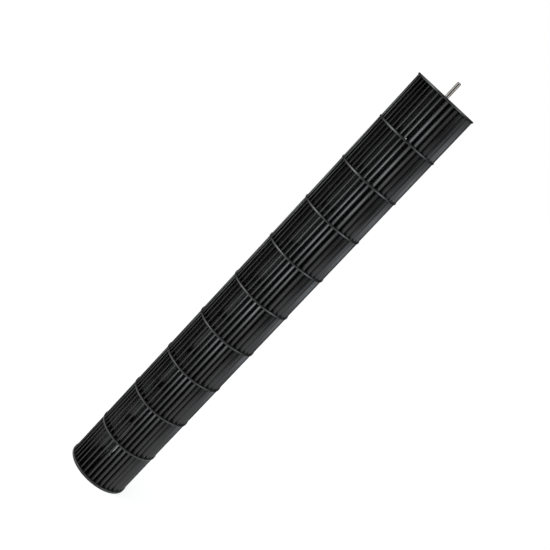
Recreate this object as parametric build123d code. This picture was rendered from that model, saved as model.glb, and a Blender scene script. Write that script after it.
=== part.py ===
from build123d import *

import math
import os

# Cross flow fan: the rotor of a split room air conditioner.
# It stands on its motor end, with its axis on Z and its bearing shaft at the top.
# All lengths are in millimetres and all angles in degrees.

# Drum
RING_RADIUS = 49.0
RING_WIDTH = 13.0
RING_INNER_RADIUS = RING_RADIUS - RING_WIDTH
RING_THICKNESS = 2.5
RING_SIDES = 40  # round each edge of the repeated rings, in place of a circle, to keep them light
MIDDLE_SECTIONS = 9
MIDDLE_BLADE_LENGTH = 71.0
MOTOR_BLADE_LENGTH = 69.0
BAY_SKEW = -5.37  # turn of each bay against the bay below it

# Blades, a crescent in section: radial at the inner edge, leaning over at the tip, and fined
# down to both edges
BLADE_TIP_INSET = 1.3  # from the ring's outer edge
BLADE_INNER_INSET = 0.8  # from the ring's inner edge
BLADE_TIP_RADIUS = RING_RADIUS - BLADE_TIP_INSET
BLADE_INNER_RADIUS = RING_INNER_RADIUS + BLADE_INNER_INSET
BLADE_TURN = 64.0  # how far the blade's middle line turns from its inner edge to its tip
BLADE_THICKNESS = 1.4  # at the middle
BLADE_FLATS = 2  # along each side, in place of an arc, to keep the model light
MARKER_BLADE_ANGLE = -92.9  # tip of the motor bay's first blade
# The uneven angles from one blade to the next, which spread the fan's tone. They start at the
# marker blade and are scaled to close the circle.
PITCH_STEPS = (
    9.0, 9.5, 9.5, 10.5, 9.0, 12.0, 11.0, 10.5, 11.0, 10.0, 10.0, 11.5,
    10.5, 10.0, 11.5, 9.5, 11.0, 10.5, 11.0, 9.5, 11.0, 9.0, 10.5, 12.0,
    10.0, 9.5, 11.0, 9.0, 11.0, 10.0, 9.0, 9.0, 10.5, 10.0, 11.5,
)

# Ribs inside both ends, which stop short of the rings' inner edges
RIB_INSET = 2.0
RIB_THICKNESS = 1.8
RIB_REACH = RING_INNER_RADIUS - RIB_INSET

# Motor end: disc, hub cup and its ribs
DISC_THICKNESS = 4.0
CUP_RADIUS = 24.0
CUP_BORE_RADIUS = 21.5
CUP_DEPTH = 12.0
CUP_LIP_THICKNESS = 2.0
CUP_LIP_RADIUS = 14.5
CUP_RIB_COUNT = 8

# Rubber bush
BUSH_RECESS = 1.0  # from the disc's outer face
BUSH_NECK_LENGTH = 4.0  # beyond the cup's floor

# Hub sleeve, for the motor's shaft
SLEEVE_BORE_RADIUS = 4.0
SLEEVE_RADIUS = 10.0
SLEEVE_HEAD_LENGTH = 16.0  # beyond the bush's neck

# Set screw. The blade in front of it is left out, so that a driver reaches it.
SCREW_RADIUS = 2.5
SCREW_CLEARANCE = 0.05
SCREW_LENGTH = 8.0
SCREW_BACK_OFF = 0.3  # from the sleeve's bore
SCREW_SLOT_WIDTH = 0.9
SCREW_SLOT_DEPTH = 1.6
SCREW_ANGLE = 90.0

# Shaft end: cap, boss and ribs
CAP_THICKNESS = 3.0
BOSS_RADIUS = 9.0
BOSS_END_RADIUS = 8.0
BOSS_LENGTH = 24.0  # inside the cap
BOSS_FLOOR = 2.0  # under the shaft's inner end
CAP_RIB_COUNT = 6
CAP_RIB_HEIGHT = 16.0

# Bearing shaft
SHAFT_RADIUS = 3.0
SHAFT_REACH = 25.0  # beyond the cap
SHAFT_TIP_CHAMFER = 1.0
GRIP_RADIUS = 2.9  # to the corners of the six-sided end that the cap is moulded round
GRIP_SIDES = 6

# Heights worked out from the sizes above
BAY_PITCH = RING_THICKNESS + MIDDLE_BLADE_LENGTH
FIRST_RING_Z = DISC_THICKNESS + MOTOR_BLADE_LENGTH
CAP_Z = FIRST_RING_Z + MIDDLE_SECTIONS * BAY_PITCH
CAP_TOP_Z = CAP_Z + CAP_THICKNESS
CUP_TOP_Z = CUP_DEPTH + CUP_LIP_THICKNESS
BUSH_TOP_Z = CUP_DEPTH + BUSH_NECK_LENGTH
SLEEVE_TOP_Z = BUSH_TOP_Z + SLEEVE_HEAD_LENGTH
SCREW_Z = BUSH_TOP_Z + SLEEVE_HEAD_LENGTH / 2


def revolved(*outline):
    """Solid turned about Z from an outline of (radius, height) points."""
    face = make_face(Polyline(*outline, close=True))
    return revolve(Plane.XZ * face, Axis.Z)


def camber_radius():
    """Radius of the blade's middle line, from its two ends' radii and its turn."""
    rise = math.sin(math.radians(BLADE_TURN))
    spread = 2 - 2 * math.cos(math.radians(BLADE_TURN))
    reach = BLADE_TIP_RADIUS**2 - BLADE_INNER_RADIUS**2
    run = BLADE_INNER_RADIUS * rise
    return (math.sqrt(run**2 + spread * reach) - run) / spread


def camber_point(share, offset=0.0):
    """Point on the blade's middle line, or offset from it towards its convex side."""
    turn = math.radians(BLADE_TURN * share)
    radius = camber_radius()
    x = BLADE_INNER_RADIUS + (radius + offset) * math.sin(turn)
    y = radius - (radius + offset) * math.cos(turn)
    return (x, y)


def half_thickness(share):
    """Half of the blade's thickness: full in the middle and nothing at both edges."""
    return BLADE_THICKNESS / 2 * math.sin(math.pi * share)


def blade_section():
    """The blade's outline, with its inner edge on X and its tip leaning towards +Y."""
    shares = [step / BLADE_FLATS for step in range(1, BLADE_FLATS)]
    convex = [camber_point(share, half_thickness(share)) for share in shares]
    concave = [camber_point(share, -half_thickness(share)) for share in reversed(shares)]
    inner_edge = camber_point(0)
    tip = camber_point(1)
    return make_face(Polyline(inner_edge, *convex, tip, *concave, close=True))


def lean_angle():
    """Angle about the axis from a blade's inner edge to its tip."""
    x, y = camber_point(1)
    return math.degrees(math.atan2(y, x))


def blade_angles():
    """Angle of each blade's inner edge about Z, from the marker blade round."""
    scale = 360 / sum(PITCH_STEPS)
    start = MARKER_BLADE_ANGLE - lean_angle()
    return [start + scale * sum(PITCH_STEPS[:count]) for count in range(len(PITCH_STEPS))]


def blade_in_front_of(bearing):
    """Number of the blade whose middle is nearest to an angle about the axis."""
    middle = bearing - lean_angle() / 2
    away = [abs((angle - middle + 180) % 360 - 180) for angle in blade_angles()]
    return away.index(min(away))


def blades(length, base_z, left_out=None):
    """A row of upright blades on the height base_z, one of which may be left out."""
    blade = extrude(blade_section(), length)
    return [
        Pos(0, 0, base_z) * Rot(0, 0, angle) * blade
        for number, angle in enumerate(blade_angles())
        if number != left_out
    ]


def ribs(count, outline):
    """Upright ribs about Z, from an outline of (radius, height) points."""
    side = Plane.XZ * make_face(Polyline(*outline, close=True))
    rib = extrude(side, RIB_THICKNESS / 2, both=True)
    return [Rot(0, 0, 360 * number / count) * rib for number in range(count)]


def motor_end_section():
    """Motor end's disc with its hub cup, and the first bay's blades, moulded in one."""
    disc = revolved(
        (CUP_BORE_RADIUS, 0),
        (RING_RADIUS, 0),
        (RING_RADIUS, DISC_THICKNESS),
        (CUP_RADIUS, DISC_THICKNESS),
        (CUP_RADIUS, CUP_TOP_Z),
        (CUP_LIP_RADIUS, CUP_TOP_Z),
        (CUP_LIP_RADIUS, CUP_DEPTH),
        (CUP_BORE_RADIUS, CUP_DEPTH),
    )
    root = (CUP_RADIUS + CUP_BORE_RADIUS) / 2
    cup_ribs = ribs(
        CUP_RIB_COUNT,
        (
            (root, DISC_THICKNESS / 2),
            (RIB_REACH, DISC_THICKNESS / 2),
            (RIB_REACH, DISC_THICKNESS),
            (CUP_RADIUS, CUP_DEPTH),
            (root, CUP_DEPTH),
        ),
    )
    row = blades(MOTOR_BLADE_LENGTH, DISC_THICKNESS, blade_in_front_of(SCREW_ANGLE))
    return disc + cup_ribs + row


def middle_section():
    """A ring with its own blades standing on it, moulded in one, with its foot on Z = 0."""
    outside = RegularPolygon(RING_RADIUS, RING_SIDES)
    inside = RegularPolygon(RING_INNER_RADIUS, RING_SIDES)
    ring = extrude(outside - inside, RING_THICKNESS)
    return ring + blades(MIDDLE_BLADE_LENGTH, RING_THICKNESS)


def bearing_shaft():
    """Steel pin: a six-sided grip that the cap is moulded round, and a round journal beyond it."""
    foot_z = CAP_Z - BOSS_LENGTH + BOSS_FLOOR
    tip_z = CAP_TOP_Z + SHAFT_REACH
    grip = extrude(RegularPolygon(GRIP_RADIUS, GRIP_SIDES), CAP_TOP_Z - foot_z)
    journal = revolved(
        (0, CAP_TOP_Z),
        (SHAFT_RADIUS, CAP_TOP_Z),
        (SHAFT_RADIUS, tip_z - SHAFT_TIP_CHAMFER),
        (SHAFT_RADIUS - SHAFT_TIP_CHAMFER, tip_z),
        (0, tip_z),
    )
    return Pos(0, 0, foot_z) * grip + journal


def shaft_end_cap():
    """End disc at the shaft end, with the boss and ribs that hold the shaft on its inside."""
    disc = revolved(
        (0, CAP_Z - BOSS_LENGTH),
        (BOSS_END_RADIUS, CAP_Z - BOSS_LENGTH),
        (BOSS_RADIUS, CAP_Z),
        (RING_RADIUS, CAP_Z),
        (RING_RADIUS, CAP_TOP_Z),
        (0, CAP_TOP_Z),
    )
    root = (BOSS_END_RADIUS + SHAFT_RADIUS) / 2
    cap_ribs = ribs(
        CAP_RIB_COUNT,
        (
            (root, CAP_Z + CAP_THICKNESS / 2),
            (root, CAP_Z - CAP_RIB_HEIGHT),
            (BOSS_RADIUS, CAP_Z - CAP_RIB_HEIGHT),
            (RIB_REACH, CAP_Z),
            (RIB_REACH, CAP_Z + CAP_THICKNESS / 2),
        ),
    )
    return disc + cap_ribs - bearing_shaft()


def rubber_bush():
    """Isolation bush bonded into the hub cup, with a neck through the cup's lip."""
    return revolved(
        (SLEEVE_RADIUS, BUSH_RECESS),
        (CUP_BORE_RADIUS, BUSH_RECESS),
        (CUP_BORE_RADIUS, CUP_DEPTH),
        (CUP_LIP_RADIUS, CUP_DEPTH),
        (CUP_LIP_RADIUS, BUSH_TOP_Z),
        (SLEEVE_RADIUS, BUSH_TOP_Z),
    )


def screw_place():
    """Where the set screw's axis leaves the fan's axis: its Z points out to the driver."""
    return Pos(0, 0, SCREW_Z) * Rot(0, 0, SCREW_ANGLE) * Rot(0, 90, 0)


def hub_sleeve():
    """Metal sleeve bonded into the bush, bored for the motor's shaft and for its set screw."""
    turned = revolved(
        (SLEEVE_BORE_RADIUS, BUSH_RECESS),
        (SLEEVE_RADIUS, BUSH_RECESS),
        (SLEEVE_RADIUS, SLEEVE_TOP_Z),
        (SLEEVE_BORE_RADIUS, SLEEVE_TOP_Z),
    )
    from_axis = (Align.CENTER, Align.CENTER, Align.MIN)
    drill = Cylinder(SCREW_RADIUS + SCREW_CLEARANCE, 2 * SLEEVE_RADIUS, align=from_axis)
    return turned - screw_place() * drill


def set_screw():
    """Slotted set screw, backed off clear of the sleeve's bore."""
    foot = SLEEVE_BORE_RADIUS + SCREW_BACK_OFF
    head = foot + SCREW_LENGTH
    body = revolved((0, foot), (SCREW_RADIUS, foot), (SCREW_RADIUS, head), (0, head))
    slot = Pos(0, 0, head) * Box(3 * SCREW_RADIUS, SCREW_SLOT_WIDTH, 2 * SCREW_SLOT_DEPTH)
    return screw_place() * (body - slot)


def pieces():
    """Every piece of the fan in its place, by name."""
    placed = {
        "motor_end_section": motor_end_section(),
        "shaft_end_cap": shaft_end_cap(),
        "bearing_shaft": bearing_shaft(),
        "rubber_bush": rubber_bush(),
        "hub_sleeve": hub_sleeve(),
        "set_screw": set_screw(),
    }
    section = middle_section()
    for number in range(1, MIDDLE_SECTIONS + 1):
        foot_z = FIRST_RING_Z + (number - 1) * BAY_PITCH
        turned = Rot(0, 0, number * BAY_SKEW) * section
        placed[f"middle_section_{number}"] = Pos(0, 0, foot_z) * turned
    return placed


os.makedirs("parts", exist_ok=True)
for name, piece in pieces().items():
    export_step(piece, f"parts/{name}.step")
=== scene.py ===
"""Dresses the cross flow fan's rotor and sets up its studio.

The blades get their true arcs, the rings and discs their rounded edges, and the hub and the
shaft their finer shape. Each piece stands for one node of the CAD frame.
"""

import logging
import math
from dataclasses import dataclass, field
from enum import Enum
from typing import Callable

import bmesh
import bpy
from mathutils import Matrix, Vector

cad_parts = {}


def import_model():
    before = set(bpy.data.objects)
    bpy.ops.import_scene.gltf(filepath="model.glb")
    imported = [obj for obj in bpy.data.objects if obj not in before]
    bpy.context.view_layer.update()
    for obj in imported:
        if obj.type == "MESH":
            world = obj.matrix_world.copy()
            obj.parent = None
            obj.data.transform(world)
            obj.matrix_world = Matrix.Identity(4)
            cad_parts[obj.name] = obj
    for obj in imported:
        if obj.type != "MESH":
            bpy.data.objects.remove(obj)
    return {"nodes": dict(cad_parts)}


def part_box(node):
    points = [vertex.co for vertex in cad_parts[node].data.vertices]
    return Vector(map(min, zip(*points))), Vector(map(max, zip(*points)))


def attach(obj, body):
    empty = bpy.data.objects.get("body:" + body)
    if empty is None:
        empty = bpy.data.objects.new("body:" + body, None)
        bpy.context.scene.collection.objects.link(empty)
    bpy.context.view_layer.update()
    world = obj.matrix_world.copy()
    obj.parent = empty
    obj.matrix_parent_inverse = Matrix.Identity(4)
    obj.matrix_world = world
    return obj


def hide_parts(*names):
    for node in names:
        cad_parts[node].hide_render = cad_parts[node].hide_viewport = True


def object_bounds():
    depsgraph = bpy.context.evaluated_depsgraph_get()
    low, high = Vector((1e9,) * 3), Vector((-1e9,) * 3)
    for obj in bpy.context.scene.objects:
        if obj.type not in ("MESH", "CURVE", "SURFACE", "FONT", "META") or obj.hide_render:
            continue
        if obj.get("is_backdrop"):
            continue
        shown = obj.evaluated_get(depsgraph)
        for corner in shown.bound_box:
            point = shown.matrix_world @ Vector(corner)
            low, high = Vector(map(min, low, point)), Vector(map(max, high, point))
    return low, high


LOG = logging.getLogger("cross_flow_fan")

MM = 0.001
ROOT = "root"
TURN_STEPS = 144
SMALL_TURN_STEPS = 72
CORNER_STEPS = 3
SMOOTH_BELOW = math.radians(40)
BEVEL_ABOVE = math.radians(50)
SAME_POINT = 1e-7  # two ends of an outline closer than this are one, in metres
MERGE_BELOW = 1e-6  # vertices closer than this are merged, in metres
CAD_NEAR = 0.05 * MM  # how closely two measures of the CAD have to agree
CAD_LEVEL = 0.01 * MM  # how level two of its vertices have to be
RIB_ROOT = 1.0 * MM  # how far a rib runs into what it stands on

Outline = list[tuple[float, float]]
Shade = tuple[float, float, float]
Test = Callable[[Vector], bool]

BLACK = (0.0, 0.0, 0.0, 1.0)
WHITE = (1.0, 1.0, 1.0, 1.0)


class Slot(Enum):
    """The record's material slots."""

    DRUM = "drum_plastic"
    SHAFT = "polished_steel"
    BUSH = "bush_rubber"
    SLEEVE = "sleeve_aluminium"
    SCREW = "screw_steel"


# ---------------------------------------------------------------- modelling by hand


class Bench:
    """The hand-modelling steps that the fan's pieces share."""

    @staticmethod
    def clear() -> None:
        """Leaves edit mode and deselects everything."""
        if bpy.context.object and bpy.context.object.mode != "OBJECT":
            bpy.ops.object.mode_set(mode="OBJECT")
        bpy.ops.object.select_all(action="DESELECT")

    @staticmethod
    def take(piece: bpy.types.Object) -> None:
        """Makes one piece the only selected and active one.

        Args:
            piece: the object to work on.
        """
        Bench.clear()
        piece.select_set(True)
        bpy.context.view_layer.objects.active = piece

    @staticmethod
    def pick(piece: bpy.types.Object, test: Test) -> None:
        """Selects, in edit mode, the vertices whose place passes a test.

        Args:
            piece: the object in edit mode.
            test: says of a vertex's place whether it is wanted.
        """
        bpy.ops.mesh.select_mode(type="VERT")
        mesh = bmesh.from_edit_mesh(piece.data)
        for vertex in mesh.verts:
            vertex.select = test(vertex.co)
        mesh.select_flush_mode()
        bmesh.update_edit_mesh(piece.data)

    @staticmethod
    def sketch(name: str, outline: Outline) -> bpy.types.Object:
        """Draws an outline of (radius, height) points in the XZ plane and stays in edit mode.

        Args:
            name: the new object's name.
            outline: the points in metres, in order round the shape.

        Returns:
            The object in edit mode, with its outline closed and selected.
        """
        Bench.clear()
        bpy.ops.mesh.primitive_plane_add(size=MM)
        piece = bpy.context.object
        piece.name = piece.data.name = name
        bpy.ops.object.mode_set(mode="EDIT")
        bpy.ops.mesh.select_all(action="SELECT")
        bpy.ops.mesh.merge(type="CENTER")
        start = outline[0]
        bpy.ops.transform.translate(value=(start[0], 0, start[1]))
        for here, there in zip(outline, outline[1:]):
            step = (there[0] - here[0], 0, there[1] - here[1])
            bpy.ops.mesh.extrude_region_move(TRANSFORM_OT_translate={"value": step})
        ends = (Vector((start[0], 0, start[1])), Vector((outline[-1][0], 0, outline[-1][1])))
        Bench.pick(piece, lambda place: min((place - end).length for end in ends) < SAME_POINT)
        bpy.ops.mesh.edge_face_add()
        bpy.ops.mesh.select_all(action="SELECT")
        return piece

    @staticmethod
    def soften(piece: bpy.types.Object, rounding: float, test: Test) -> None:
        """Rounds the chosen corners of a sketched outline.

        Args:
            piece: the object in edit mode.
            rounding: the corner's offset in metres.
            test: says of a corner's place whether it is rounded.
        """
        Bench.pick(piece, test)
        bpy.ops.mesh.bevel(offset=rounding, segments=CORNER_STEPS, affect="VERTICES")
        bpy.ops.mesh.select_all(action="SELECT")

    @staticmethod
    def close_up(piece: bpy.types.Object) -> bpy.types.Object:
        """Merges doubles, turns the faces outwards, leaves edit mode and shades the piece.

        Args:
            piece: the object in edit mode.

        Returns:
            The same object.
        """
        bpy.ops.mesh.select_all(action="SELECT")
        bpy.ops.mesh.remove_doubles(threshold=MERGE_BELOW)
        bpy.ops.mesh.normals_make_consistent(inside=False)
        bpy.ops.object.mode_set(mode="OBJECT")
        Bench.take(piece)
        bpy.ops.object.shade_smooth_by_angle(angle=SMOOTH_BELOW)
        return piece

    @staticmethod
    def turned(
        name: str,
        outline: Outline,
        rounding: float = 0.0,
        rounded: Test = lambda place: True,
        steps: int = TURN_STEPS,
    ) -> bpy.types.Object:
        """Turns an outline about Z, as on a lathe.

        Args:
            name: the new object's name.
            outline: (radius, height) points in metres, in order round the section.
            rounding: how much the corners are rounded, in metres.
            rounded: which corners are rounded.
            steps: how many faces go round.

        Returns:
            The finished turned piece.
        """
        piece = Bench.sketch(name, outline)
        if rounding:
            Bench.soften(piece, rounding, lambda place: place.x > MM and rounded(place))
        bpy.ops.mesh.spin(steps=steps, angle=math.tau, center=(0, 0, 0), axis=(0, 0, 1))
        return Bench.close_up(piece)

    @staticmethod
    def plate(name: str, outline: Outline, thickness: float) -> bpy.types.Object:
        """Makes a flat plate from an outline in the XZ plane, half its thickness either side.

        Args:
            name: the new object's name.
            outline: (radius, height) points in metres.
            thickness: the plate's thickness in metres.

        Returns:
            The finished plate.
        """
        piece = Bench.sketch(name, outline)
        bpy.ops.mesh.edge_face_add()
        bpy.ops.transform.translate(value=(0, -thickness / 2, 0))
        bpy.ops.mesh.extrude_region_move(TRANSFORM_OT_translate={"value": (0, thickness, 0)})
        return Bench.close_up(piece)

    @staticmethod
    def modify(piece: bpy.types.Object, kind: str, **settings: object) -> None:
        """Adds a modifier and applies it.

        Args:
            piece: the object to change.
            kind: the modifier's type.
            settings: the modifier's values by name.
        """
        Bench.take(piece)
        modifier = piece.modifiers.new(kind.title(), kind)
        for setting, value in settings.items():
            setattr(modifier, setting, value)
        bpy.ops.object.modifier_apply(modifier=modifier.name)

    @staticmethod
    def copies(piece: bpy.types.Object, places: list[Matrix]) -> list[bpy.types.Object]:
        """Copies a piece to several places, each copy with its own mesh, and removes the model.

        Args:
            piece: the piece that was modelled once.
            places: where each copy goes, from the model's place.

        Returns:
            The copies.
        """
        made = []
        for place in places:
            copy = piece.copy()
            copy.data = piece.data.copy()
            copy.data.transform(place)
            bpy.context.collection.objects.link(copy)
            made.append(copy)
        bpy.data.objects.remove(piece)
        return made

    @staticmethod
    def joined(name: str, pieces: list[bpy.types.Object]) -> bpy.types.Object:
        """Joins pieces that are one moulding.

        Args:
            name: the joined object's name.
            pieces: the pieces, the first of which keeps its object.

        Returns:
            The joined object.
        """
        Bench.clear()
        for piece in pieces:
            piece.select_set(True)
        bpy.context.view_layer.objects.active = pieces[0]
        bpy.ops.object.join()
        pieces[0].name = pieces[0].data.name = name
        return pieces[0]


def around(count: int) -> list[Matrix]:
    """Returns evenly spaced turns about Z."""
    return [Matrix.Rotation(math.tau * number / count, 4, "Z") for number in range(count)]


# ---------------------------------------------------------------- the drum


@dataclass
class BladeRow:
    """The blades of one bay, placed where the CAD section has them."""

    node: str
    thickness: float = 1.4 * MM
    edge_share: float = 0.88  # of the full thickness, at the blade's two edges
    edge_round: float = 0.22 * MM
    edge_steps: int = 2
    sink: float = 0.3 * MM  # how far the foot goes into its ring
    arc_steps: int = 8
    tip_radius: float = field(init=False)
    inner_radius: float = field(init=False)
    angles: list[float] = field(init=False)  # of the blades' inner edges about Z
    turn: float = field(init=False)  # of a blade's middle line from its inner edge to its tip
    camber_radius: float = field(init=False)

    def places(self) -> list[Vector]:
        """Reads the CAD section's vertices at the blades' upper ends, without doubles."""
        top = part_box(self.node)[1].z
        seen = {}
        for vertex in bpy.data.objects[self.node].data.vertices:
            if abs(vertex.co.z - top) < CAD_LEVEL:
                seen[(round(vertex.co.x, 6), round(vertex.co.y, 6))] = vertex.co.copy()
        return list(seen.values())

    def measure(self) -> None:
        """Works out the blades' radii, angles and camber from the CAD section."""
        spots = self.places()
        reach = [spot.xy.length for spot in spots]
        self.tip_radius, self.inner_radius = max(reach), min(reach)
        tips = [spot for spot, r in zip(spots, reach) if r > self.tip_radius - CAD_NEAR]
        inner = [spot for spot, r in zip(spots, reach) if r < self.inner_radius + CAD_NEAR]
        self.angles = sorted(math.atan2(spot.y, spot.x) for spot in inner)
        lean = min((math.atan2(tip.y, tip.x) - self.angles[0]) % math.tau for tip in tips)
        chord = Vector((self.tip_radius * math.cos(lean) - self.inner_radius, 0))
        chord.y = self.tip_radius * math.sin(lean)
        self.turn = 2 * math.atan2(chord.y, chord.x)
        self.camber_radius = chord.length / (2 * math.sin(self.turn / 2))

    def model(self, foot: float, head: float) -> list[bpy.types.Object]:
        """Models one blade and copies it round the bay.

        Args:
            foot: the height of the blades' lower ends, in metres.
            head: the height of their upper ends.

        Returns:
            The bay's blades.
        """
        self.measure()
        Bench.clear()
        bpy.ops.mesh.primitive_plane_add(size=head - foot + self.sink)
        blade = bpy.context.object
        bpy.ops.object.mode_set(mode="EDIT")
        Bench.pick(blade, lambda place: place.x < 0)
        bpy.ops.mesh.delete(type="VERT")
        bpy.ops.mesh.select_all(action="SELECT")
        low, high = foot - self.sink, head
        mesh = bmesh.from_edit_mesh(blade.data)
        for vertex in mesh.verts:
            vertex.co = (self.inner_radius, 0, high if vertex.co.y > 0 else low)
        bmesh.update_edit_mesh(blade.data)
        centre = (self.inner_radius, self.camber_radius, 0)
        bpy.ops.mesh.spin(steps=self.arc_steps, angle=-self.turn, center=centre, axis=(0, 0, 1))
        bpy.ops.object.mode_set(mode="OBJECT")
        self.thicken(blade)
        turns = [Matrix.Rotation(angle, 4, "Z") for angle in self.angles]
        return Bench.copies(blade, turns)

    def thicken(self, blade: bpy.types.Object) -> None:
        """Gives the curved sheet its thickness, finer towards both edges, and rounds them.

        Args:
            blade: the curved sheet.
        """
        weights = blade.vertex_groups.new(name="thickness")
        for vertex in blade.data.vertices:
            along = vertex.co.y / self.camber_radius
            share = math.acos(max(-1.0, min(1.0, 1 - along))) / self.turn
            swell = math.sin(math.pi * max(0.0, min(1.0, share)))
            weight = self.edge_share + (1 - self.edge_share) * swell
            weights.add([vertex.index], weight, "REPLACE")
        Bench.modify(
            blade, "SOLIDIFY", thickness=self.thickness, offset=0, vertex_group="thickness"
        )
        Bench.modify(
            blade,
            "BEVEL",
            width=self.edge_round,
            segments=self.edge_steps,
            limit_method="ANGLE",
            angle_limit=BEVEL_ABOVE,
        )
        blade.vertex_groups.clear()
        Bench.take(blade)
        bpy.ops.object.mode_set(mode="EDIT")
        Bench.close_up(blade)


@dataclass
class MiddleSection:
    """A ring with its own blades standing on it."""

    number: int
    ring_thickness: float
    ring_radius: float
    ring_inner_radius: float
    edge_round: float = 0.25 * MM

    @property
    def node(self) -> str:
        """The CAD node that this section dresses."""
        return f"middle_section_{self.number}"

    def model(self) -> bpy.types.Object:
        """Builds the section.

        Returns:
            The section as one moulding.
        """
        low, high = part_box(self.node)
        ring_top = low.z + self.ring_thickness
        ring = Bench.turned(
            "ring",
            [
                (self.ring_inner_radius, low.z),
                (self.ring_radius, low.z),
                (self.ring_radius, ring_top),
                (self.ring_inner_radius, ring_top),
            ],
            rounding=self.edge_round,
        )
        row = BladeRow(self.node).model(ring_top, high.z)
        return Bench.joined(f"section_{self.number}_moulding", [ring, *row])


@dataclass
class MotorEnd:
    """The motor end's disc, hub cup and first bay of blades."""

    node: str = "motor_end_section"
    disc_thickness: float = 4.0 * MM
    cup_radius: float = 24.0 * MM
    cup_lip: float = 2.0 * MM
    cup_height: float = 14.0 * MM
    lip_radius: float = 14.5 * MM
    rib_count: int = 8
    rib_reach: float = 34.0 * MM
    rib_thickness: float = 1.8 * MM
    edge_round: float = 0.7 * MM

    def model(self) -> bpy.types.Object:
        """Builds the motor end.

        Returns:
            The motor end as one moulding.
        """
        low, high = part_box(self.node)
        radius = (high.x - low.x) / 2
        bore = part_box("rubber_bush")[1].x
        floor = self.cup_height - self.cup_lip
        disc = Bench.turned(
            "disc",
            [
                (bore, low.z),
                (radius, low.z),
                (radius, self.disc_thickness),
                (self.cup_radius, self.disc_thickness),
                (self.cup_radius, self.cup_height),
                (self.lip_radius, self.cup_height),
                (self.lip_radius, floor),
                (bore, floor),
            ],
            rounding=self.edge_round,
            rounded=lambda place: place.x > self.cup_radius - MM,
        )
        row = BladeRow(self.node).model(self.disc_thickness, high.z)
        return Bench.joined("motor_end_moulding", [disc, *self.ribs(floor), *row])

    def ribs(self, floor: float) -> list[bpy.types.Object]:
        """Models the ribs between the cup and the disc.

        Args:
            floor: the height of the cup's floor.

        Returns:
            The ribs.
        """
        root = self.cup_radius - RIB_ROOT
        foot = self.disc_thickness / 2
        rib = Bench.plate(
            "rib",
            [
                (root, foot),
                (self.rib_reach, foot),
                (self.rib_reach, self.disc_thickness),
                (self.cup_radius, floor),
                (root, floor),
            ],
            self.rib_thickness,
        )
        return Bench.copies(rib, around(self.rib_count))


@dataclass
class ShaftEndCap:
    """The end disc at the shaft end, with its boss and ribs inside."""

    node: str = "shaft_end_cap"
    thickness: float = 3.0 * MM
    boss_radius: float = 9.0 * MM
    boss_end_radius: float = 8.0 * MM
    rib_count: int = 6
    rib_reach: float = 34.0 * MM
    rib_height: float = 16.0 * MM
    rib_thickness: float = 1.8 * MM
    edge_round: float = 0.6 * MM

    def model(self) -> bpy.types.Object:
        """Builds the cap.

        Returns:
            The cap as one moulding.
        """
        low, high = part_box(self.node)
        radius = (high.x - low.x) / 2
        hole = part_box("bearing_shaft")[1].x
        underside = high.z - self.thickness
        disc = Bench.turned(
            "cap_disc",
            [
                (hole, low.z),
                (self.boss_end_radius, low.z),
                (self.boss_radius, underside),
                (radius, underside),
                (radius, high.z),
                (hole, high.z),
            ],
            rounding=self.edge_round,
            rounded=lambda place: place.x > self.boss_radius - 2 * MM,
        )
        root = self.boss_end_radius - RIB_ROOT
        middle = underside + self.thickness / 2
        rib = Bench.plate(
            "cap_rib",
            [
                (root, middle),
                (root, underside - self.rib_height),
                (self.boss_radius, underside - self.rib_height),
                (self.rib_reach, underside),
                (self.rib_reach, middle),
            ],
            self.rib_thickness,
        )
        ribs = Bench.copies(rib, around(self.rib_count))
        return Bench.joined("shaft_end_moulding", [disc, *ribs])


# ---------------------------------------------------------------- shaft and hub


@dataclass
class BearingShaft:
    """The ground steel pin, with a chamfered tip and a six-sided grip inside the cap."""

    node: str = "bearing_shaft"
    grip_radius: float = 2.9 * MM
    grip_sides: int = 6
    tip_chamfer: float = 1.0 * MM
    edge_round: float = 0.25 * MM

    def model(self) -> bpy.types.Object:
        """Builds the pin.

        Returns:
            The pin.
        """
        low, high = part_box(self.node)
        radius = (high.x - low.x) / 2
        cap_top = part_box("shaft_end_cap")[1].z
        journal = Bench.turned(
            "journal",
            [
                (0, cap_top),
                (radius, cap_top),
                (radius, high.z - self.tip_chamfer),
                (radius - self.tip_chamfer, high.z),
                (0, high.z),
            ],
            rounding=self.edge_round,
            rounded=lambda place: place.z > cap_top + MM,
            steps=SMALL_TURN_STEPS,
        )
        grip = Bench.turned(
            "grip",
            [(0, low.z), (self.grip_radius, low.z), (self.grip_radius, cap_top), (0, cap_top)],
            steps=self.grip_sides,
        )
        return Bench.joined("shaft_pin", [journal, grip])


@dataclass
class RubberBush:
    """The isolation bush, with its shoulder and its neck."""

    node: str = "rubber_bush"
    neck_radius: float = 14.5 * MM
    shoulder: float = 12.0 * MM  # height of the cup's floor, which the shoulder meets
    edge_round: float = 0.5 * MM

    def model(self) -> bpy.types.Object:
        """Builds the bush.

        Returns:
            The bush.
        """
        low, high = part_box(self.node)
        radius = (high.x - low.x) / 2
        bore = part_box("hub_sleeve")[1].x
        return Bench.turned(
            "bush_rubber_body",
            [
                (bore, low.z),
                (radius, low.z),
                (radius, self.shoulder),
                (self.neck_radius, self.shoulder),
                (self.neck_radius, high.z),
                (bore, high.z),
            ],
            rounding=self.edge_round,
            rounded=lambda place: place.x > bore + MM,
        )


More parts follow.
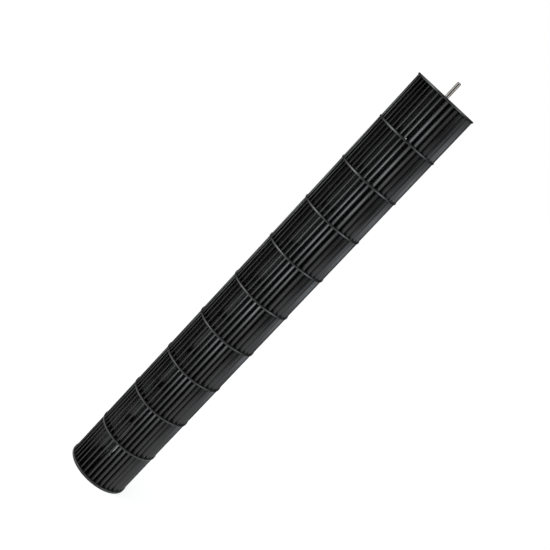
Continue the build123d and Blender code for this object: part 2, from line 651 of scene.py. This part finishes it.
@dataclass
class HubSleeve:
    """The turned metal sleeve that takes the motor's shaft."""

    node: str = "hub_sleeve"
    bore_radius: float = 4.0 * MM
    chamfer: float = 0.5 * MM
    hole_radius: float = 2.55 * MM

    def model(self) -> bpy.types.Object:
        """Builds the sleeve and drills it for the set screw.

        Returns:
            The sleeve.
        """
        low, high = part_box(self.node)
        radius = (high.x - low.x) / 2
        mouth = self.bore_radius + self.chamfer
        sleeve = Bench.turned(
            "hub_sleeve_body",
            [
                (mouth, low.z),
                (radius - self.chamfer, low.z),
                (radius, low.z + self.chamfer),
                (radius, high.z - self.chamfer),
                (radius - self.chamfer, high.z),
                (mouth, high.z),
                (self.bore_radius, high.z - self.chamfer),
                (self.bore_radius, low.z + self.chamfer),
            ],
            steps=SMALL_TURN_STEPS,
        )
        self.drill(sleeve, radius)
        return sleeve

    def drill(self, sleeve: bpy.types.Object, radius: float) -> None:
        """Cuts the set screw's hole through one wall.

        Args:
            sleeve: the turned sleeve.
            radius: its outer radius.
        """
        low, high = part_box("set_screw")
        Bench.clear()
        bpy.ops.mesh.primitive_cylinder_add(
            vertices=SMALL_TURN_STEPS // 2,
            radius=self.hole_radius,
            depth=2 * radius,
            location=(0, radius, (low.z + high.z) / 2),
            rotation=(math.radians(90), 0, 0),
        )
        cutter = bpy.context.object
        Bench.modify(sleeve, "BOOLEAN", operation="DIFFERENCE", object=cutter, solver="EXACT")
        bpy.data.objects.remove(cutter)
        Bench.take(sleeve)
        bpy.ops.object.shade_smooth_by_angle(angle=SMOOTH_BELOW)


@dataclass
class SetScrew:
    """The slotted set screw, with its thread as rings."""

    node: str = "set_screw"
    pitch: float = 0.8 * MM
    thread_depth: float = 0.35 * MM
    slot_width: float = 0.9 * MM
    slot_depth: float = 1.6 * MM

    def model(self) -> bpy.types.Object:
        """Builds the screw upright and lays it on its own axis.

        Returns:
            The screw.
        """
        low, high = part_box(self.node)
        radius = (high.x - low.x) / 2
        length = high.y - low.y
        core = radius - self.thread_depth
        outline: Outline = [(0, 0), (core, 0)]
        for turn in range(int(length / self.pitch)):
            crest = (turn + 0.5) * self.pitch
            outline += [(radius, crest), (core, crest + self.pitch / 2)]
        outline += [(core, length), (0, length)]
        screw = Bench.turned("set_screw_body", outline, steps=SMALL_TURN_STEPS // 2)
        Bench.clear()
        bpy.ops.mesh.primitive_cube_add(size=1, location=(0, 0, length))
        cutter = bpy.context.object
        cutter.scale = (4 * radius, self.slot_width, 2 * self.slot_depth)
        Bench.modify(screw, "BOOLEAN", operation="DIFFERENCE", object=cutter, solver="EXACT")
        bpy.data.objects.remove(cutter)
        lay = Matrix.Translation((0, low.y, (low.z + high.z) / 2)) @ Matrix.Rotation(
            math.radians(-90), 4, "X"
        )
        screw.data.transform(lay)
        return screw


# ---------------------------------------------------------------- shared effects

GRAIN_DETAIL = 3.0
PATCH_FROM, PATCH_TO = 0.3, 0.7  # the part of the noise that is spread from low to high
SHEEN_FINER = 2.3  # how much finer the roughness varies than the shade


def new_group(name: str, inputs: dict[str, float], outputs: dict[str, str]) -> bpy.types.NodeTree:
    """Starts a shader node group.

    Args:
        name: the group's name.
        inputs: its float inputs and their defaults.
        outputs: its outputs and their socket types.

    Returns:
        The group, with its input and output nodes placed.
    """
    tree = bpy.data.node_groups.new(name, "ShaderNodeTree")
    for label, value in inputs.items():
        socket = tree.interface.new_socket(label, in_out="INPUT", socket_type="NodeSocketFloat")
        socket.default_value = value
    for label, kind in outputs.items():
        tree.interface.new_socket(label, in_out="OUTPUT", socket_type=kind)
    tree.nodes.new("NodeGroupInput")
    tree.nodes.new("NodeGroupOutput")
    return tree


def grain_group() -> bpy.types.NodeTree:
    """Builds the fine moulded grain that plastic and rubber share.

    Returns:
        A group with Scale and Stretch inputs and a Height output.
    """
    tree = new_group(
        "moulded_grain", {"Scale": 900.0, "Stretch": 1.0}, {"Height": "NodeSocketFloat"}
    )
    nodes, links = tree.nodes, tree.links
    taken, given = nodes["Group Input"], nodes["Group Output"]
    where = nodes.new("ShaderNodeTexCoord")
    squeeze = nodes.new("ShaderNodeCombineXYZ")
    squeeze.inputs["X"].default_value = 1.0
    squeeze.inputs["Y"].default_value = 1.0
    mapping = nodes.new("ShaderNodeVectorMath")
    mapping.operation = "MULTIPLY"
    noise = nodes.new("ShaderNodeTexNoise")
    noise.inputs["Detail"].default_value = GRAIN_DETAIL
    links.new(taken.outputs["Stretch"], squeeze.inputs["Z"])
    links.new(where.outputs["Object"], mapping.inputs[0])
    links.new(squeeze.outputs["Vector"], mapping.inputs[1])
    links.new(mapping.outputs["Vector"], noise.inputs["Vector"])
    links.new(taken.outputs["Scale"], noise.inputs["Scale"])
    links.new(noise.outputs["Fac"], given.inputs["Height"])
    return tree


def patches_group() -> bpy.types.NodeTree:
    """Builds the soft patches that vary a finish over a few centimetres.

    Returns:
        A group with Scale, Stretch, Low and High inputs and a Value output.
    """
    tree = new_group(
        "soft_patches",
        {"Scale": 30.0, "Stretch": 1.0, "Low": 0.0, "High": 1.0},
        {"Value": "NodeSocketFloat"},
    )
    nodes, links = tree.nodes, tree.links
    taken, given = nodes["Group Input"], nodes["Group Output"]
    inner = nodes.new("ShaderNodeGroup")
    inner.node_tree = bpy.data.node_groups["moulded_grain"]
    spread = nodes.new("ShaderNodeMapRange")
    spread.inputs["From Min"].default_value = PATCH_FROM
    spread.inputs["From Max"].default_value = PATCH_TO
    links.new(taken.outputs["Scale"], inner.inputs["Scale"])
    links.new(taken.outputs["Stretch"], inner.inputs["Stretch"])
    links.new(inner.outputs["Height"], spread.inputs["Value"])
    links.new(taken.outputs["Low"], spread.inputs["To Min"])
    links.new(taken.outputs["High"], spread.inputs["To Max"])
    links.new(spread.outputs["Result"], given.inputs["Value"])
    return tree


# ---------------------------------------------------------------- finishes


@dataclass(frozen=True)
class Finish:
    """A finish: its slot, its two shades, its roughness range and its surface relief."""

    slot: Slot
    dark: Shade
    light: Shade
    smooth: float
    rough: float
    metallic: float
    specular: float
    patch_scale: float
    patch_stretch: float
    grain_scale: float
    grain_stretch: float
    grain_depth: float  # in millimetres

    def material(self) -> bpy.types.Material:
        """Builds the finish's material.

        Returns:
            The material.
        """
        made = bpy.data.materials.new(self.slot.value)
        made.use_nodes = True
        nodes, links = made.node_tree.nodes, made.node_tree.links
        shader = nodes["Principled BSDF"]
        shader.inputs["Metallic"].default_value = self.metallic
        shader.inputs["Specular IOR Level"].default_value = self.specular
        tint = self.group(nodes, "soft_patches")
        tint.inputs["Scale"].default_value = self.patch_scale
        tint.inputs["Stretch"].default_value = self.patch_stretch
        shades = nodes.new("ShaderNodeMix")
        shades.data_type = "RGBA"
        shades.inputs["A"].default_value = (*self.dark, 1)
        shades.inputs["B"].default_value = (*self.light, 1)
        links.new(tint.outputs["Value"], shades.inputs["Factor"])
        links.new(shades.outputs["Result"], shader.inputs["Base Color"])
        sheen = self.group(nodes, "soft_patches")
        sheen.inputs["Scale"].default_value = self.patch_scale * SHEEN_FINER
        sheen.inputs["Stretch"].default_value = self.patch_stretch
        sheen.inputs["Low"].default_value = self.smooth
        sheen.inputs["High"].default_value = self.rough
        links.new(sheen.outputs["Value"], shader.inputs["Roughness"])
        grain = self.group(nodes, "moulded_grain")
        grain.inputs["Scale"].default_value = self.grain_scale
        grain.inputs["Stretch"].default_value = self.grain_stretch
        bump = nodes.new("ShaderNodeBump")
        bump.inputs["Strength"].default_value = 1.0
        bump.inputs["Distance"].default_value = self.grain_depth * MM
        links.new(grain.outputs["Height"], bump.inputs["Height"])
        links.new(bump.outputs["Normal"], shader.inputs["Normal"])
        return made

    @staticmethod
    def group(nodes: bpy.types.Nodes, name: str) -> bpy.types.ShaderNodeGroup:
        """Places a shared effect in a material's nodes and returns it."""
        placed = nodes.new("ShaderNodeGroup")
        placed.node_tree = bpy.data.node_groups[name]
        return placed


FINISHES = (
    Finish(
        slot=Slot.DRUM,
        dark=(0.0065, 0.0064, 0.0064),
        light=(0.0105, 0.0103, 0.0102),
        smooth=0.36,
        rough=0.46,
        metallic=0.0,
        specular=0.5,
        patch_scale=24.0,
        patch_stretch=0.25,
        grain_scale=1500.0,
        grain_stretch=0.7,
        grain_depth=0.06,
    ),
    Finish(
        slot=Slot.SHAFT,
        dark=(0.31, 0.285, 0.255),
        light=(0.42, 0.40, 0.375),
        smooth=0.07,
        rough=0.13,
        metallic=1.0,
        specular=0.5,
        patch_scale=120.0,
        patch_stretch=1.0,
        grain_scale=900.0,
        grain_stretch=8.0,
        grain_depth=0.004,
    ),
    Finish(
        slot=Slot.BUSH,
        dark=(0.010, 0.010, 0.010),
        light=(0.022, 0.021, 0.020),
        smooth=0.68,
        rough=0.85,
        metallic=0.0,
        specular=0.35,
        patch_scale=60.0,
        patch_stretch=1.0,
        grain_scale=1400.0,
        grain_stretch=1.0,
        grain_depth=0.05,
    ),
    Finish(
        slot=Slot.SLEEVE,
        dark=(0.60, 0.60, 0.61),
        light=(0.76, 0.76, 0.78),
        smooth=0.26,
        rough=0.38,
        metallic=1.0,
        specular=0.5,
        patch_scale=140.0,
        patch_stretch=1.0,
        grain_scale=700.0,
        grain_stretch=10.0,
        grain_depth=0.01,
    ),
    Finish(
        slot=Slot.SCREW,
        dark=(0.30, 0.29, 0.27),
        light=(0.46, 0.45, 0.42),
        smooth=0.28,
        rough=0.45,
        metallic=1.0,
        specular=0.5,
        patch_scale=400.0,
        patch_stretch=1.0,
        grain_scale=3000.0,
        grain_stretch=1.0,
        grain_depth=0.01,
    ),
)


def build_materials() -> dict[Slot, bpy.types.Material]:
    """Builds the shared effects and then each finish.

    Returns:
        The materials by slot.
    """
    grain_group()
    patches_group()
    return {finish.slot: finish.material() for finish in FINISHES}


# ---------------------------------------------------------------- studio


@dataclass(frozen=True)
class Lamp:
    """A soft box that faces the middle of the fan."""

    name: str
    bearing: float  # from the camera's side towards -X, in degrees
    rise: float  # above the fan's middle, in degrees
    distance: float  # from the fan's middle, in metres
    size: tuple[float, float]  # width and height in metres
    tint: Shade
    power: float  # in watts


@dataclass(frozen=True)
class Card:
    """A dark card by the fan, which only its reflections show."""

    name: str
    bearing: float  # from the camera's side towards -X, in degrees
    distance: float  # from the fan's middle, in metres
    size: tuple[float, float]  # width and height in metres
    glow: float  # where 1 is white


@dataclass(frozen=True)
class Lens:
    """How the camera sees the fan: from far off, tilted down a little and rolled."""

    focal: float = 66.3  # in millimetres
    sensor: float = 36.0  # in millimetres
    tilt: float = 0.2401  # down from level, in radians
    roll: float = math.radians(46.93)
    aside: float = -5.1 * MM  # along X
    back: float = -1376 * MM  # along Y
    above_rim: float = 2.8 * MM  # above the middle of the cap's rim


LAMPS = (
    Lamp(
        name="key_box",
        bearing=60.0,
        rise=-0.5,
        distance=1.7,
        size=(0.9, 0.7),
        tint=(0.94, 0.97, 1.0),
        power=20.0,
    ),
    Lamp(
        name="side_box",
        bearing=-62.0,
        rise=-0.5,
        distance=1.7,
        size=(0.5, 0.7),
        tint=(0.82, 0.91, 1.0),
        power=9.0,
    ),
)
CARDS = (
    Card(name="front_card", bearing=-2.0, distance=2.1, size=(2.1, 2.4), glow=0.03),
    Card(name="left_card", bearing=129.0, distance=0.27, size=(0.22, 3.0), glow=0.05),
    Card(name="right_card", bearing=-126.0, distance=0.27, size=(0.38, 3.0), glow=0.04),
)


@dataclass
class Studio:
    """The floor, the world, the lamps, the cards and the camera round the standing fan."""

    height: float
    floor_size: float = 60.0
    floor_shade: Shade = (0.9, 0.9, 0.9)
    floor_roughness: float = 0.9
    floor_specular: float = 0.1
    floor_glow: float = 0.685  # what the surround's light on the floor needs to make it white
    card_tint: Shade = (1.0, 0.94, 0.9)
    ambient: float = 0.35
    lens: Lens = Lens()

    def build(self) -> None:
        """Sets up everything round the fan."""
        self.floor()
        self.world()
        for lamp in LAMPS:
            self.hang(lamp)
        for card in CARDS:
            self.stand(card)
        self.camera()

    def backdrop_strength(
        self, tree: bpy.types.NodeTree, dim: float, bright: float = 1.0
    ) -> bpy.types.NodeSocket:
        """Makes a bright strength for what looks straight at a backdrop and dim for the rest.

        Args:
            tree: the material's or the world's nodes.
            dim: the strength for light that lands on the fan.
            bright: the strength for the camera, for reflections and through glass.

        Returns:
            The socket that gives the strength.
        """
        nodes, links = tree.nodes, tree.links
        path = nodes.new("ShaderNodeLightPath")
        seen = nodes.new("ShaderNodeMath")
        seen.operation = "MAXIMUM"
        shown = nodes.new("ShaderNodeMath")
        shown.operation = "MAXIMUM"
        spread = nodes.new("ShaderNodeMapRange")
        spread.inputs["To Min"].default_value = dim
        spread.inputs["To Max"].default_value = bright
        links.new(path.outputs["Is Camera Ray"], seen.inputs[0])
        links.new(path.outputs["Is Transmission Ray"], seen.inputs[1])
        links.new(seen.outputs["Value"], shown.inputs[0])
        links.new(path.outputs["Is Glossy Ray"], shown.inputs[1])
        links.new(shown.outputs["Value"], spread.inputs["Value"])
        return spread.outputs["Result"]

    def floor(self) -> None:
        """Lays the pale floor, which keeps the fan's soft shadow."""
        Bench.clear()
        bpy.ops.mesh.primitive_plane_add(size=self.floor_size, location=(0, 0, 0))
        floor = bpy.context.object
        floor.name = floor.data.name = "floor"
        made = bpy.data.materials.new("pale_floor")
        made.use_nodes = True
        nodes, links = made.node_tree.nodes, made.node_tree.links
        shader = nodes["Principled BSDF"]
        shader.inputs["Base Color"].default_value = (*self.floor_shade, 1)
        shader.inputs["Roughness"].default_value = self.floor_roughness
        shader.inputs["Specular IOR Level"].default_value = self.floor_specular
        shader.inputs["Emission Color"].default_value = WHITE
        strength = self.backdrop_strength(made.node_tree, 0.0, self.floor_glow)
        links.new(strength, shader.inputs["Emission Strength"])
        floor.data.materials.append(made)
        floor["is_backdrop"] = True

    def world(self) -> None:
        """Makes a white surround that lights the fan gently."""
        world = bpy.data.worlds.new("studio")
        bpy.context.scene.world = world
        world.use_nodes = True
        surround = world.node_tree.nodes["Background"]
        surround.inputs["Color"].default_value = WHITE
        strength = self.backdrop_strength(world.node_tree, self.ambient)
        world.node_tree.links.new(strength, surround.inputs["Strength"])

    def aimed(self, bearing: float, rise: float, distance: float) -> Matrix:
        """Works out a place round the fan that faces its middle.

        Args:
            bearing: the angle from the camera's side towards -X, in degrees.
            rise: the angle above the fan's middle, in degrees.
            distance: how far from the fan's middle, in metres.

        Returns:
            The place, with its -Z towards the fan.
        """
        turn, lift = math.radians(bearing), math.radians(rise)
        away = Vector(
            (-math.sin(turn) * math.cos(lift), -math.cos(turn) * math.cos(lift), math.sin(lift))
        )
        middle = Vector((0, 0, self.height / 2))
        turned = away.to_track_quat("Z", "Y").to_matrix().to_4x4()
        return Matrix.Translation(middle + away * distance) @ turned

    def hang(self, lamp: Lamp) -> None:
        """Hangs a lamp in its place.

        Args:
            lamp: the lamp and where it hangs.
        """
        light = bpy.data.lights.new(lamp.name, "AREA")
        light.shape = "RECTANGLE"
        light.size, light.size_y = lamp.size
        light.color = lamp.tint
        light.energy = lamp.power
        box = bpy.data.objects.new(lamp.name, light)
        bpy.context.collection.objects.link(box)
        box.matrix_world = self.aimed(lamp.bearing, lamp.rise, lamp.distance)

    def stand(self, card: Card) -> None:
        """Stands a card in its place, level with the fan's middle.

        Args:
            card: the card and where it stands.
        """
        Bench.clear()
        bpy.ops.mesh.primitive_plane_add(size=1)
        sheet = bpy.context.object
        sheet.name = sheet.data.name = card.name
        spread = Matrix.Diagonal((*card.size, 1, 1))
        sheet.data.transform(self.aimed(card.bearing, 0, card.distance) @ spread)
        made = bpy.data.materials.new(card.name)
        made.use_nodes = True
        shader = made.node_tree.nodes["Principled BSDF"]
        shader.inputs["Base Color"].default_value = BLACK
        shader.inputs["Specular IOR Level"].default_value = 0.0
        shader.inputs["Emission Color"].default_value = (*self.card_tint, 1)
        shader.inputs["Emission Strength"].default_value = card.glow
        sheet.data.materials.append(made)
        sheet.visible_camera = sheet.visible_diffuse = sheet.visible_shadow = False
        sheet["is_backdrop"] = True

    def camera(self) -> None:
        """Places the camera by the shaft end's rim, so that the fan lies corner to corner."""
        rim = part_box("shaft_end_cap")[1].z - ShaftEndCap.thickness / 2
        tilt, roll = self.lens.tilt, self.lens.roll
        axis = Vector((0, math.sin(tilt), math.cos(tilt)))
        side = Vector((1, 0, 0))
        forward = Vector((0, math.cos(tilt), -math.sin(tilt)))
        right = math.cos(roll) * axis + math.sin(roll) * side
        up = math.sin(roll) * axis - math.cos(roll) * side
        lens = bpy.data.cameras.new("camera")
        lens.sensor_width = self.lens.sensor
        lens.lens = self.lens.focal
        camera = bpy.data.objects.new("camera", lens)
        bpy.context.collection.objects.link(camera)
        turn = Matrix((right, up, -forward)).transposed().to_4x4()
        place = Vector((self.lens.aside, self.lens.back, rim + self.lens.above_rim))
        camera.matrix_world = Matrix.Translation(place) @ turn
        bpy.context.scene.camera = camera


# ---------------------------------------------------------------- putting it together


def dress(piece: bpy.types.Object, node: str, material: bpy.types.Material) -> None:
    """Gives a piece its finish and lets it stand for its CAD node.

    Args:
        piece: the modelled piece.
        node: the CAD node that it stands for.
        material: its finish.
    """
    piece.data.materials.clear()
    piece.data.materials.append(material)
    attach(piece, ROOT)
    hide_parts(node)
    LOG.info("%s: %d faces, stands for %s", piece.name, len(piece.data.polygons), node)


def ring_sizes(node: str) -> tuple[float, float, float]:
    """Reads a ring's thickness and its two radii from its CAD section.

    Args:
        node: the section's node.

    Returns:
        The thickness, the outer radius and the inner radius, in metres.
    """
    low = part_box(node)[0].z
    spots = [vertex.co for vertex in bpy.data.objects[node].data.vertices]
    outer = max(spot.xy.length for spot in spots)
    inner = min(spot.xy.length for spot in spots)
    top = max(spot.z for spot in spots if spot.xy.length < inner + CAD_NEAR)
    return top - low, outer, inner


def main() -> None:
    """Builds the fan's pieces in order, dresses them and sets up the studio."""
    logging.basicConfig(level=logging.INFO, format="%(message)s")
    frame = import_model()
    cad_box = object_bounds()
    bpy.context.scene.view_settings.view_transform = "Standard"
    materials = build_materials()
    middle = [name for name in frame["nodes"] if name.startswith("middle_section_")]
    ring = ring_sizes(middle[0])
    drum = [MotorEnd(), ShaftEndCap()]
    drum += [MiddleSection(number, *ring) for number in range(1, len(middle) + 1)]
    for part in drum:
        dress(part.model(), part.node, materials[Slot.DRUM])
    hub = {
        Slot.SHAFT: BearingShaft(),
        Slot.BUSH: RubberBush(),
        Slot.SLEEVE: HubSleeve(),
        Slot.SCREW: SetScrew(),
    }
    for slot, part in hub.items():
        dress(part.model(), part.node, materials[slot])
    Studio(height=cad_box[1].z).build()
    Bench.clear()


if __name__ == "__main__":
    main()
